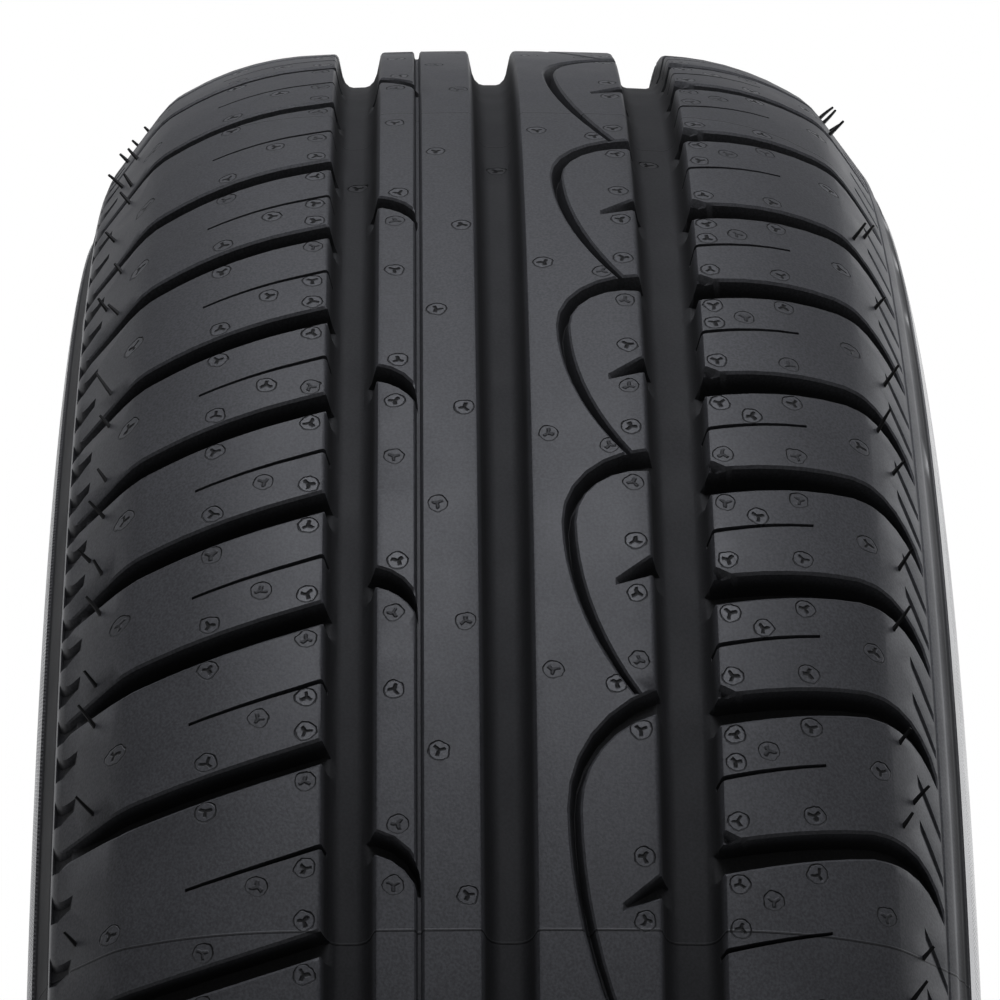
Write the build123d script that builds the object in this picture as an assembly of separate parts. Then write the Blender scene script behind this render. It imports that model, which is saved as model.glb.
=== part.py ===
from build123d import *
import math
import os

# Overall sizes, for a 185/65 R15 road tyre
outer_diameter = 621.0
section_width = 189.0
rim_diameter = 380.2
rim_width = 139.7

# Outer section, from the crown outwards: half widths, and drops below the crown
crown_arc_radius = 800.0
crown_half_width = 42.0
tread_edge_half_width = 74.5
tread_edge_drop = 12.0
buttress_half_width = 88.5
buttress_drop = 30.5
widest_drop = 65.0
lower_wall_half_width = 81.5
lower_wall_drop = 92.0
bead_face_height = 6.0
bead_heel_radius = 4.5
bead_base_width = 17.5

# Rubber thickness around the air space
crown_thickness = 14.5
shoulder_thickness = 9.0
shoulder_inset = 12.5
sidewall_thickness = 7.5
bead_shank_height = 23.0
bead_shank_width = 15.0

# Grooves that run all the way round: depth, place of the centre line and width at the top
tread_depth = 8.0
left_groove_place = -30.3
left_groove_width = 10.2
thin_groove_place = -16.85
thin_groove_width = 1.5
thin_groove_depth = 1.8
centre_groove_place = 0.2
centre_groove_width = 10.4
right_groove_place = 34.75
right_groove_width = 12.1
groove_draft = 12.0
thin_groove_draft = 1.5

# Pattern that repeats round the tread
pattern_cycles = 5
long_pitch = 1.22
middle_pitch = 0.97
short_pitch = 0.855
pitch_sequence = (
    [long_pitch] + [middle_pitch] * 2 + [short_pitch] * 3 + [middle_pitch]
    + [long_pitch] * 2 + [short_pitch] * 2 + [long_pitch]
)
first_pitch_angle = 2.8
cross_depth = 6.5

# Angles by which the left shoulder, the right rib and the narrow rib run ahead of the right shoulder
left_lead_angle = 4.15
right_rib_lead_angle = 6.65
narrow_rib_lead_angle = 1.05

# Cross grooves of the left shoulder
left_cross_width = 5.2
left_cross_edge_width = 4.0
left_cross_end_width = 1.6
left_cross_sweep = 10.0
left_cross_hook = 1.2

# Cross grooves of the right shoulder
right_cross_width = 6.5
right_cross_bend_width = 3.9
right_cross_end_width = 2.0
right_cross_sweep = 8.3
right_cross_straight = 29.0
right_cross_hook = 9.0

# Crescents and notches of the right rib
crescent_mouth_width = 5.6
crescent_reach = 17.2
crescent_back_share = 0.33
crescent_back_width = 2.3
crescent_tail_width = 1.3
crescent_tail_reach = 3.0
crescent_tail_pass = 1.2
notch_mouth_width = 4.8
notch_reach = 7.0
notch_drop = 1.8

# Slots of the narrow rib
slot_mouth_width = 5.0
slot_fall_share = 0.31
slot_end_width = 1.8
slot_start = (0.25, 1)

# Chords that stand for a round stretch of the shoulder, and of a cut's outline
shoulder_chords = 3
arc_chords = 3

# Amount by which a cut passes the surface that it opens
pass_by = 3.0

crown_radius = outer_diameter / 2
seat_radius = rim_diameter / 2
cycle_angle = 360 / pattern_cycles
half_section = section_width / 2
half_rim = rim_width / 2
left_rib_edge = left_groove_place + left_groove_width / 2
left_block_edge = left_groove_place - left_groove_width / 2
right_rib_edge = right_groove_place - right_groove_width / 2
right_block_edge = right_groove_place + right_groove_width / 2


# Tread surface, or a level below it, as points of its crown arc and shoulder arc
crown_centre = crown_radius - crown_arc_radius
crown_slope = math.asin(crown_half_width / crown_arc_radius)
edge_radius = crown_radius - tread_edge_drop


def crown_point(place, depth=0):
    slope = math.asin(place / crown_arc_radius)
    reach = crown_arc_radius - depth
    return (crown_centre + reach * math.cos(slope), reach * math.sin(slope))


crown_end = crown_point(crown_half_width)
to_edge = (edge_radius - crown_end[0], tread_edge_half_width - crown_end[1])
edge_fall = to_edge[0] * math.cos(crown_slope) + to_edge[1] * math.sin(crown_slope)
shoulder_radius = -(to_edge[0] ** 2 + to_edge[1] ** 2) / (2 * edge_fall)
shoulder_centre = (
    crown_end[0] - shoulder_radius * math.cos(crown_slope),
    crown_end[1] - shoulder_radius * math.sin(crown_slope),
)
edge_slope = math.atan2(tread_edge_half_width - shoulder_centre[1], edge_radius - shoulder_centre[0])


def shoulder_point(share, depth=0):
    slope = crown_slope + share * (edge_slope - crown_slope)
    reach = shoulder_radius - depth
    return (shoulder_centre[0] + reach * math.cos(slope), shoulder_centre[1] + reach * math.sin(slope))


def shoulder_points(depth=0):
    return [shoulder_point(step / shoulder_chords, depth) for step in range(shoulder_chords + 1)]


def mirrored(points):
    return [(radius, -place) for radius, place in reversed(points)]


# Section, x along the radius and y across the tyre: the tread in chords that break inside the grooves
buttress = (crown_radius - buttress_drop, buttress_half_width)
widest = (crown_radius - widest_drop, half_section)
lower_wall = (crown_radius - lower_wall_drop, lower_wall_half_width)
bead_face_top = (seat_radius + bead_face_height, half_rim)
heel_top = (seat_radius + bead_heel_radius, half_rim)
heel_end = (seat_radius, half_rim - bead_heel_radius)
toe = (seat_radius, half_rim - bead_base_width)
shank = (seat_radius + bead_shank_height, lower_wall_half_width - bead_shank_width)
inner_widest = (crown_radius - widest_drop, half_section - sidewall_thickness)
inner_shoulder = (edge_radius - shoulder_thickness, tread_edge_half_width - shoulder_inset)
inner_top = (crown_radius - crown_thickness, 0)

groove_places = (left_groove_place, centre_groove_place, right_groove_place)
shoulder_side = shoulder_points() + [buttress]
tread_points = mirrored(shoulder_side) + [crown_point(place) for place in groove_places] + shoulder_side
side_lines = [
    TangentArc(widest, buttress, tangent=(1, 0)),
    TangentArc(widest, lower_wall, tangent=(-1, 0)),
    TangentArc(bead_face_top, lower_wall, tangent=(1, 0)),
    Line(bead_face_top, heel_top),
    TangentArc(heel_top, heel_end, tangent=(-1, 0)),
    Line(heel_end, toe),
    Line(toe, shank),
    TangentArc(inner_widest, shank, tangent=(-1, 0)),
    TangentArc(inner_widest, inner_shoulder, tangent=(1, 0)),
    TangentArc(inner_top, inner_shoulder, tangent=(0, 1)),
]
other_side = [mirror(line, about=Plane.XZ) for line in side_lines]
section = make_face([Polyline(*tread_points)] + side_lines + other_side)


# Groove that runs round the tread, narrower at its floor
def ring_groove(place, width, depth, draft):
    surface = crown_point(place)[0]
    side = math.tan(math.radians(draft))
    top = width / 2 + pass_by * side
    floor = width / 2 - depth * side
    outline = Polyline(
        (surface + pass_by, place - top),
        (surface - depth, place - floor),
        (surface - depth, place + floor),
        (surface + pass_by, place + top),
        close=True,
    )
    return make_face(outline)


section -= ring_groove(left_groove_place, left_groove_width, tread_depth, groove_draft)
section -= ring_groove(thin_groove_place, thin_groove_width, thin_groove_depth, thin_groove_draft)
section -= ring_groove(centre_groove_place, centre_groove_width, tread_depth, groove_draft)
section -= ring_groove(right_groove_place, right_groove_width, tread_depth, groove_draft)
tyre = revolve(section, Axis.Y)

# Layer that the cross cuts may take away: from their floor, which runs out on the buttress, outwards
floor_side = shoulder_points(cross_depth)
run_out = (half_section - floor_side[-1][1]) * math.tan(edge_slope)
floor_side += [(floor_side[-1][0] - run_out, half_section), (crown_radius + pass_by, half_section)]
layer_points = mirrored(floor_side) + [crown_point(0, cross_depth)] + floor_side
layer_face = make_face(Polyline(*layer_points, close=True))
layer = revolve(Rot(0, -cycle_angle, 0) * layer_face, Axis.Y, 3 * cycle_angle)

# Outlines of the cuts lie on a plane that touches the crown: x down the front, y across
touching = Plane(origin=(crown_radius + pass_by, 0, 0), x_dir=(0, 0, -1), z_dir=(1, 0, 0))
cut_reach = pass_by + buttress_drop + cross_depth


def cut(points, angle):
    block = extrude(touching * make_face(Polyline(*points, close=True)), amount=-cut_reach)
    return (Rot(0, angle, 0) * block) & layer


# Round stretch of an outline as chords, without its first point
def chords(arc):
    points = [arc @ (step / arc_chords) for step in range(1, arc_chords + 1)]
    return [(point.X, point.Y) for point in points]


def left_cross(angle):
    end = left_cross_sweep - left_cross_hook
    upper = [
        (-left_cross_width / 2, left_groove_place),
        (-left_cross_width / 2, left_block_edge),
        (left_cross_sweep - left_cross_edge_width / 2, -tread_edge_half_width),
        (end - left_cross_end_width / 2, -half_section),
    ]
    lower = [
        (end + left_cross_end_width / 2, -half_section),
        (left_cross_sweep + left_cross_edge_width / 2, -tread_edge_half_width),
        (left_cross_width / 2, left_block_edge),
        (left_cross_width / 2, left_groove_place),
    ]
    return cut(upper + lower, angle)


# One side of a right cross groove: straight over the block, then hooked down at the tread edge
def right_cross_side(start, bend, end):
    bend_place = right_block_edge + right_cross_straight
    straight = Line((start, right_block_edge), (bend, bend_place))
    hook = TangentArc((bend, bend_place), (end, half_section), tangent=straight % 1)
    return [(start, right_groove_place), (start, right_block_edge), (bend, bend_place)] + chords(hook)


def right_cross(angle):
    bend = -right_cross_sweep
    end = bend + right_cross_hook
    half = right_cross_width / 2
    half_bend = right_cross_bend_width / 2
    half_end = right_cross_end_width / 2
    upper = right_cross_side(-half, bend - half_bend, end - half_end)
    lower = right_cross_side(half, bend + half_bend, end + half_end)
    return cut(upper + lower[::-1], angle)


# One side of a crescent: from its mouth round its back to its tail
def crescent_side(mouth, back, tail):
    head_arc = TangentArc(back, mouth, tangent=(-1, 0))
    tail_arc = TangentArc(back, tail, tangent=(1, 0))
    return [(mouth[0], right_groove_place)] + chords(head_arc)[::-1] + [back] + chords(tail_arc)


# Crescent that opens into the right groove and trails off at the next crescent's mouth
def crescent(angle, length):
    back = length * crescent_back_share
    tail = length + crescent_tail_pass
    back_place = right_rib_edge - crescent_reach
    tail_place = right_rib_edge - crescent_tail_reach
    outer = crescent_side(
        (0, right_rib_edge),
        (back, back_place),
        (tail, tail_place - crescent_tail_width),
    )
    inner = crescent_side(
        (crescent_mouth_width, right_rib_edge),
        (back, back_place + crescent_back_width),
        (tail, tail_place),
    )
    return cut(outer + inner[::-1], angle)


def notch(angle):
    points = [
        (0, right_groove_place),
        (0, right_rib_edge),
        (notch_mouth_width + notch_drop, right_rib_edge - notch_reach),
        (notch_mouth_width, right_rib_edge),
        (notch_mouth_width, right_groove_place),
    ]
    return cut(points, angle)


# Slot that crosses the narrow rib, from the left groove to the thin groove
def slot(angle, length):
    throat = slot_mouth_width
    fall = throat + length * slot_fall_share
    upper = TangentArc((0, left_rib_edge), (fall - slot_end_width, thin_groove_place), tangent=slot_start)
    lower = TangentArc((throat, left_rib_edge), (fall, thin_groove_place), tangent=slot_start)
    upper_points = [(0, left_groove_place), (0, left_rib_edge)] + chords(upper)
    lower_points = [(throat, left_groove_place), (throat, left_rib_edge)] + chords(lower)
    return cut(upper_points + lower_points[::-1], angle)


# Cuts of one cycle, turned round to the others
mean_pitch = cycle_angle / sum(pitch_sequence)
cuts = []
angle = 0
for index, share in enumerate(pitch_sequence):
    pitch = share * mean_pitch
    cuts.append(left_cross(angle - left_lead_angle))
    cuts.append(right_cross(angle))
    if index % 2 == 0:
        cuts.append(notch(angle - right_rib_lead_angle))
    else:
        next_share = pitch_sequence[(index + 1) % len(pitch_sequence)]
        span = pitch + next_share * mean_pitch
        cuts.append(crescent(angle - right_rib_lead_angle, crown_radius * math.radians(span)))
        cuts.append(slot(angle - narrow_rib_lead_angle, crown_radius * math.radians(pitch)))
    angle += pitch

pieces = [piece for found in cuts for piece in found.solids()]
tools = []
for cycle in range(pattern_cycles):
    turn = first_pitch_angle + cycle * cycle_angle
    tools += [Rot(0, turn, 0) * piece for piece in pieces]
tyre = tyre.cut(*tools)

os.makedirs("parts", exist_ok=True)
export_step(tyre, "parts/tyre.step")
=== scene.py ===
import bpy
import math
import numpy as np
from mathutils import Matrix, Vector
from mathutils.geometry import delaunay_2d_cdt


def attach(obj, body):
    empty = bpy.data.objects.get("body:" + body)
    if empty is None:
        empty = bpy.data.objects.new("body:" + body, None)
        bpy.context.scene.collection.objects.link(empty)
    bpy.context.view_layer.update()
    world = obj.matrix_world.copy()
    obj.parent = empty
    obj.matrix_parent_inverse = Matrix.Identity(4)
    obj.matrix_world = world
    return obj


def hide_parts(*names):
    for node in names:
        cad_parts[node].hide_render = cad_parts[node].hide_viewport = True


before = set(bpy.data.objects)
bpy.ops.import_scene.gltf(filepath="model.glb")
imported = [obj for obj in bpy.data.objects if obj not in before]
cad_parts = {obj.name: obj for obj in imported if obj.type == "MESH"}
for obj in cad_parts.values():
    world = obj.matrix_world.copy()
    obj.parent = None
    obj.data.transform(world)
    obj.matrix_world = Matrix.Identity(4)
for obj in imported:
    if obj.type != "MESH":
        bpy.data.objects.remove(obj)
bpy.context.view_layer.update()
mm = 0.001

# Section of the tyre in millimetres: half widths across it and drops below the crown
section = {
    "crownRadius": 310.5,
    "crownArc": 800.0,
    "crownHalf": 42.0,
    "edgeHalf": 74.5,
    "edgeDrop": 12.0,
    "edgeRound": 2.2,
    "buttressHalf": 88.5,
    "buttressDrop": 30.5,
    "recessDepth": 1.4,
    "widestHalf": 94.5,
    "widestDrop": 65.0,
    "lowerHalf": 81.5,
    "lowerDrop": 92.0,
    "rimHalf": 69.85,
    "seatRadius": 190.1,
    "beadFace": 6.0,
    "heel": 4.5,
    "beadBase": 17.5,
    "crownThickness": 14.5,
    "shoulderThickness": 9.0,
    "shoulderInset": 12.5,
    "wallThickness": 7.5,
    "shankHeight": 23.0,
    "shankWidth": 15.0,
}

crownRadius = section["crownRadius"]
crownCentre = crownRadius - section["crownArc"]
crownSlope = math.asin(section["crownHalf"] / section["crownArc"])
slopeNormal = np.array([math.cos(crownSlope), math.sin(crownSlope)])
crownEnd = np.array([crownCentre, 0]) + section["crownArc"] * slopeNormal
treadEdge = np.array([crownRadius - section["edgeDrop"], section["edgeHalf"]])
toEdge = treadEdge - crownEnd
shoulderArc = -toEdge.dot(toEdge) / (2 * toEdge.dot(slopeNormal))
shoulderCentre = crownEnd - shoulderArc * slopeNormal
edgeSlope = math.atan2(treadEdge[1] - shoulderCentre[1], treadEdge[0] - shoulderCentre[0])
buttress = np.array([crownRadius - section["buttressDrop"], section["buttressHalf"]])


# Radius of the tread, or of a layer below it, at a place across the tyre
def levelRadius(place, depth):
    side = np.abs(place)
    crownReach = section["crownArc"] - depth
    shoulderReach = shoulderArc - depth
    crownLimit = crownReach * math.sin(crownSlope)
    edgeLimit = shoulderCentre[1] + shoulderReach * math.sin(edgeSlope)
    edgeLevel = shoulderCentre[0] + shoulderReach * math.cos(edgeSlope)
    onCrown = crownCentre + np.sqrt(crownReach**2 - np.minimum(side, crownLimit) ** 2)
    across = np.clip(side - shoulderCentre[1], 0, edgeLimit - shoulderCentre[1])
    onShoulder = shoulderCentre[0] + np.sqrt(shoulderReach**2 - across**2)
    fall = math.tan(edgeSlope)
    if depth == 0:
        fall = (treadEdge[0] - buttress[0]) / (buttress[1] - treadEdge[1])
    onRunOut = edgeLevel - fall * (side - edgeLimit)
    return np.where(side <= crownLimit, onCrown, np.where(side <= edgeLimit, onShoulder, onRunOut))


def surfaceRadius(place):
    side = np.abs(place)
    ease = section["edgeRound"]
    low = section["edgeHalf"] - ease
    share = np.clip((side - low) / (2 * ease), 0, 1)
    start = levelRadius(np.array(low), 0)
    end = levelRadius(np.array(low + 2 * ease), 0)
    eased = (1 - share) ** 2 * start + 2 * share * (1 - share) * treadEdge[0] + share**2 * end
    return np.where((share > 0) & (share < 1), eased, levelRadius(place, 0))


# Outlines are loops of points: x runs down the front of the tread, y across it
def arcPoints(start, heading, end, count):
    start = np.array(start, float)
    end = np.array(end, float)
    heading = np.array(heading, float) / math.hypot(*heading)
    normal = np.array([-heading[1], heading[0]])
    span = end - start
    radius = span.dot(span) / (2 * span.dot(normal))
    centre = start + radius * normal
    first = math.atan2(*(start - centre)[::-1])
    last = math.atan2(*(end - centre)[::-1])
    turn = (last - first + math.pi) % (2 * math.pi) - math.pi
    angles = first + turn * np.linspace(0, 1, count + 1)
    return [tuple(centre + abs(radius) * np.array([math.cos(a), math.sin(a)])) for a in angles]


def divided(points, step):
    loop = []
    for here, there in zip(points, points[1:] + points[:1]):
        parts = max(1, math.ceil(math.dist(here, there) / step))
        for part in range(parts):
            share = part / parts
            loop.append((here[0] + share * (there[0] - here[0]), here[1] + share * (there[1] - here[1])))
    return loop


def oriented(points):
    loop = np.array(points, float)
    x, y = loop[:, 0], loop[:, 1]
    area = np.sum(x * np.roll(y, -1) - np.roll(x, -1) * y)
    return loop if area > 0 else loop[::-1]


def offsetLoop(loop, distance):
    before = loop - np.roll(loop, 1, axis=0)
    after = np.roll(loop, -1, axis=0) - loop
    before /= np.linalg.norm(before, axis=1)[:, None]
    after /= np.linalg.norm(after, axis=1)[:, None]
    inBefore = np.stack([-before[:, 1], before[:, 0]], axis=1)
    inAfter = np.stack([-after[:, 1], after[:, 0]], axis=1)
    mitre = inBefore + inAfter
    mitre /= np.maximum(np.einsum("ij,ij->i", mitre, inAfter), 0.5)[:, None]
    return loop + distance * mitre


def insideDistance(points, loop):
    run = np.roll(loop, -1, axis=0) - loop
    rel = points[:, None, :] - loop[None]
    share = np.clip(np.einsum("pij,ij->pi", rel, run) / np.einsum("ij,ij->i", run, run), 0, 1)
    gap = rel - share[..., None] * run[None]
    distance = np.sqrt(np.min(np.einsum("pij,pij->pi", gap, gap), axis=1))
    low, high = loop[:, 1], np.roll(loop, -1, axis=0)[:, 1]
    place = points[:, 1:2]
    crosses = (low[None] > place) != (high[None] > place)
    rise = np.where(high == low, 1, high - low)
    crossing = loop[None, :, 0] + (place - low[None]) / rise[None] * run[None, :, 0]
    inside = np.sum(crosses & (points[:, 0:1] < crossing), axis=1) % 2 == 1
    return np.where(inside, distance, -distance)


print("section ready, shoulder arc", round(shoulderArc, 2))

# Tread pattern in millimetres
tread = {
    "cycles": 5,
    "sequence": "lmmsssmllssl",
    "shares": {"l": 1.22, "m": 0.97, "s": 0.855},
    "firstAngle": 2.8,
    "leftLead": 4.15,
    "rightRibLead": 6.65,
    "narrowRibLead": 1.05,
    "crossDepth": 6.5,
    "step": 5.0,
    "ringSteps": 38,
    "seamPoints": 50,
    "margin": 1.0,
    "weld": 0.0005,
}
# A profile is the depth of a cut against the distance inside its outline
wideProfile = [(-0.8, 0.0), (-0.3, 0.14), (0.1, 0.7), (1.0, 5.0), (1.7, 6.7), (2.7, 7.7), (3.7, 8.0)]
lineProfile = [(-0.1, 0.0), (0.2, 0.35)]
thinProfile = [(-0.25, 0.0), (0.1, 0.4), (0.3, 1.6), (0.45, 1.8)]
ringGrooves = {
    "left": {"place": -30.3, "width": 10.2, "profile": wideProfile},
    "thin": {"place": -16.85, "width": 1.5, "profile": thinProfile},
    "centre": {"place": 0.2, "width": 10.4, "profile": wideProfile},
    "right": {"place": 34.75, "width": 12.1, "profile": wideProfile},
    "edge": {"place": 84.8, "width": 0.5, "profile": lineProfile},
}
cycleLength = crownRadius * 2 * math.pi / tread["cycles"]
shares = [tread["shares"][kind] for kind in tread["sequence"]]
pitches = [share * cycleLength / sum(shares) for share in shares]
pitchCount = len(pitches)
leftLead = math.radians(tread["leftLead"]) * crownRadius
rightRibLead = math.radians(tread["rightRibLead"]) * crownRadius
narrowRibLead = math.radians(tread["narrowRibLead"]) * crownRadius
leftBlockEdge = ringGrooves["left"]["place"] - ringGrooves["left"]["width"] / 2
leftRibEdge = ringGrooves["left"]["place"] + ringGrooves["left"]["width"] / 2
rightRibEdge = ringGrooves["right"]["place"] - ringGrooves["right"]["width"] / 2
rightBlockEdge = ringGrooves["right"]["place"] + ringGrooves["right"]["width"] / 2
zoneEnd = section["buttressHalf"]


def pitchStart(index):
    cycle, place = divmod(index, pitchCount)
    return cycle * cycleLength + sum(pitches[:place])


leftCross = {
    "width": 5.2,
    "edgeWidth": 5.2,
    "endWidth": 3.0,
    "sweep": 10.0,
    "hook": -0.6,
    "bow": 0.9,
    "runOut": 85.6,
}


# Fall of the left cross grooves at a place across the block: they bow a little towards the tread edge
def leftFall(place):
    share = (leftBlockEdge - place) / (leftBlockEdge + section["edgeHalf"])
    return leftCross["sweep"] * share + 4 * leftCross["bow"] * share * (1 - share)


def leftCrossOutline():
    cut = leftCross
    end = cut["sweep"] - cut["hook"]
    half = cut["width"] / 2
    upper = [(-half, ringGrooves["left"]["place"])]
    lower = [(half, ringGrooves["left"]["place"])]
    for place in np.linspace(leftBlockEdge, -section["edgeHalf"], 6):
        share = (leftBlockEdge - place) / (leftBlockEdge + section["edgeHalf"])
        wide = half + share * (cut["edgeWidth"] / 2 - half)
        upper.append((leftFall(place) - wide, place))
        lower.append((leftFall(place) + wide, place))
    upper.append((end - cut["endWidth"] / 2, -cut["runOut"]))
    lower.append((end + cut["endWidth"] / 2, -cut["runOut"]))
    return upper + lower[::-1]


rightCross = {"width": 6.5, "bendWidth": 5.5, "sweep": 6.0, "straight": 29.0}
# Run of the hook past the bend: place across the tyre, fall below the bend and width
rightHook = (
    (73.5, 0.0, 5.4),
    (76.5, 0.2, 5.2),
    (79.0, 1.0, 4.9),
    (81.0, 2.8, 4.4),
    (82.8, 5.6, 3.8),
    (84.2, 9.2, 2.2),
)


def rightCrossOutline():
    cut = rightCross
    bend = -cut["sweep"]
    line = [(ringGrooves["right"]["place"], 0, cut["width"]), (rightBlockEdge, 0, cut["width"])]
    line.append((rightBlockEdge + cut["straight"], bend, cut["bendWidth"]))
    line += [(place, bend + fall, width) for place, fall, width in rightHook]
    upper = [(fall - width / 2, place) for place, fall, width in line]
    lower = [(fall + width / 2, place) for place, fall, width in line]
    return upper + lower[::-1]


# Bevel on the lower inner corner of every right block
bevelOutline = ((-2.8, 40.2), (-6.2, 40.2), (-3.4, 45.5), (-2.8, 45.5))

crescent = {
    "mouth": 5.6,
    "reach": 17.2,
    "backShare": 0.33,
    "backWidth": 2.3,
    "tailWidth": 1.3,
    "tailReach": 3.0,
    "tailPass": 1.2,
}


def crescentSide(mouth, back, tail):
    head = arcPoints(back, (-1, 0), mouth, 6)[::-1]
    trail = arcPoints(back, (1, 0), tail, 9)
    return [(mouth[0], ringGrooves["right"]["place"])] + head + trail[1:]


def crescentOutline(length):
    cut = crescent
    back = length * cut["backShare"]
    tail = length + cut["tailPass"]
    backPlace = rightRibEdge - cut["reach"]
    tailPlace = rightRibEdge - cut["tailReach"]
    outer = crescentSide((0, rightRibEdge), (back, backPlace), (tail, tailPlace - cut["tailWidth"]))
    throat = (cut["mouth"], rightRibEdge)
    inner = crescentSide(throat, (back, backPlace + cut["backWidth"]), (tail, tailPlace))
    return outer + inner[::-1]


notch = {"mouth": 4.8, "reach": 7.0, "drop": 1.8, "tip": 1.2, "tipDepth": 0.8}


def notchOutline():
    cut = notch
    throat = cut["mouth"]
    tip = throat + cut["drop"]
    return [
        (0, ringGrooves["right"]["place"]),
        (0, rightRibEdge),
        (tip - cut["tip"] / 2, rightRibEdge - cut["reach"]),
        (tip + cut["tip"] / 2, rightRibEdge - cut["reach"]),
        (throat, rightRibEdge),
        (throat, ringGrooves["right"]["place"]),
    ]


slot = {"mouth": 5.0, "fallShare": 0.31, "endWidth": 1.8, "heading": (0.25, 1)}


def slotOutline(length):
    cut = slot
    throat = cut["mouth"]
    fall = throat + length * cut["fallShare"]
    thin = ringGrooves["thin"]["place"]
    upper = arcPoints((0, leftRibEdge), cut["heading"], (fall - cut["endWidth"], thin), 5)
    lower = arcPoints((throat, leftRibEdge), cut["heading"], (fall, thin), 5)
    upper = [(0, ringGrooves["left"]["place"])] + upper
    lower = [(throat, ringGrooves["left"]["place"])] + lower
    return upper + lower[::-1]


sipe = {
    "width": 0.9,
    "endWidth": 0.5,
    "depth": 5.0,
    "overlap": 1.0,
    "leftEnd": -61.0,
    "leftShare": 0.505,
    "rightEnd": 61.0,
    "rightShare": 0.478,
    "rightRise": 5.0,
}


def leftSipeOutline():
    half = sipe["width"] / 2
    tip = sipe["endWidth"] / 2
    places = np.linspace(leftBlockEdge, sipe["leftEnd"], 5)
    widths = np.linspace(half, tip, 5)
    upper = [(leftFall(place) - wide, place) for place, wide in zip(places, widths)]
    lower = [(leftFall(place) + wide, place) for place, wide in zip(places, widths)]
    near = leftBlockEdge + sipe["overlap"]
    return [(-half, near)] + upper + lower[::-1] + [(half, near)]


def rightSipeOutline():
    half = sipe["width"] / 2
    tip = sipe["endWidth"] / 2
    near = rightBlockEdge - sipe["overlap"]
    far = sipe["rightEnd"]
    rise = -sipe["rightRise"]
    return [(-half, near), (rise - tip, far), (rise + tip, far), (half, near)]


# Gaps between the rounded tabs on the left buttress, slits on the right one and the recess below them
gapOutline = (
    (-1.2, -83.6),
    (-1.0, -85.2),
    (-1.2, -86.2),
    (-2.4, -87.2),
    (-4.8, -88.1),
    (2.3, -88.1),
    (2.9, -86.6),
    (1.7, -84.6),
    (1.4, -83.6),
)
gap = {"depth": 2.4, "shares": (0, 0.29, 0.65), "fall": 0.3}
slitOutline = ((-1.1, 79.9), (4.2, 82.3), (9.6, 84.4), (11.4, 84.4), (6.6, 82.3), (1.1, 79.9))
slit = {"depth": 1.0, "shares": (0.37, 0.7)}
leftRecess = [(-88.3, section["recessDepth"]), (-88.0, 0.9), (-87.5, 0.35), (-86.7, 0.0)]
rightRecess = [(86.5, 0.0), (87.0, 0.6), (87.3, section["recessDepth"])]

crossDepth = tread["crossDepth"]
crossProfile = [(-0.45, 0.0), (0.1, 0.5), (0.75, crossDepth)]
narrowProfile = [(-0.3, 0.0), (0.1, 0.45), (0.55, crossDepth)]
bevelProfile = [(-0.15, 0.0), (0.5, 1.0), (1.4, 3.0)]
crescentProfile = [(-0.35, 0.0), (0.1, 0.45), (0.5, 2.6), (1.1, 4.2)]
sipeProfile = [(-0.1, 0.0), (0.22, sipe["depth"])]
gapProfile = [(-0.15, 0.0), (0.2, 1.2), (0.6, gap["depth"])]
slitProfile = [(-0.15, 0.0), (0.4, slit["depth"])]

cuts = []
# A rise limits the depth of a cut: places across the tread, then the depths there
noRise = ((0, 1), (99, 99))
notchPlaces = (rightRibEdge - notch["reach"], rightRibEdge + tread["margin"])
notchRise = (notchPlaces, (notch["tipDepth"], crossDepth))


def addCut(start, points, profile, rise=noRise):
    loop = oriented(divided([(start + x, y) for x, y in points], tread["step"]))
    low = loop.min(axis=0) - tread["margin"]
    high = loop.max(axis=0) + tread["margin"]
    if high[0] > 0 and low[0] < cycleLength:
        cuts.append({"loop": loop, "profile": profile, "low": low, "high": high, "rise": rise})


# Vent marks: place across the tread, then share of the pitch below the cut above, and an offset
vent = {
    "half": 2.7,
    "seed": 11,
    "roomy": 29.0,
    "sunkShare": 0.3,
    "sunkShift": 10.0,
    "sunkLimit": 6.5,
    "away": 5.0,
}
leftVents = (
    (-38.5, 0, 6.3),
    (-38.5, 1, -4.4),
    (-47.5, 0.505, 7.9),
    (-57.5, 0, 11.5),
    (-57.5, 1, 1.0),
    (-75.5, 1, -6.0),
)
leftRoomyVent = (-38.5, 0.62, 0)
rightVents = (
    (43.6, 0, 5.3),
    (43.6, 1, -7.7),
    (50.0, 0, 8.3),
    (58.5, 0, 2.2),
    (58.5, 1, -10.0),
    (72.0, 0, 8.5),
)
rightRoomyVent = (43.6, 0.36, 0)
crescentVents = ((9.0, 0, -4.0), (21.2, 0, -1.0), (25.6, 0, -6.3), (25.6, 0, 9.2))
notchVents = ((25.6, 0, -3.4), (25.6, 0, 9.4))
slotVents = (
    (-20.9, 0, -1.2),
    (-21.7, 0, 11.3),
    (-21.7, 0.5, -0.5),
    (-7.75, 0, 13.5),
    (-13.0, 0.72, 0),
)
ringVents = ((-29.8, 0, 12.5), (33.4, 0, -2.0), (0.2, 0, 3.5))
vents = []
dice = np.random.RandomState(vent["seed"])


def addVents(start, length, table):
    for place, share, offset in table:
        spot = (start + share * length + offset) % cycleLength
        vents.append((spot, place, dice.uniform(0, 2 * math.pi), dice.uniform() < vent["sunkShare"]))


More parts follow.
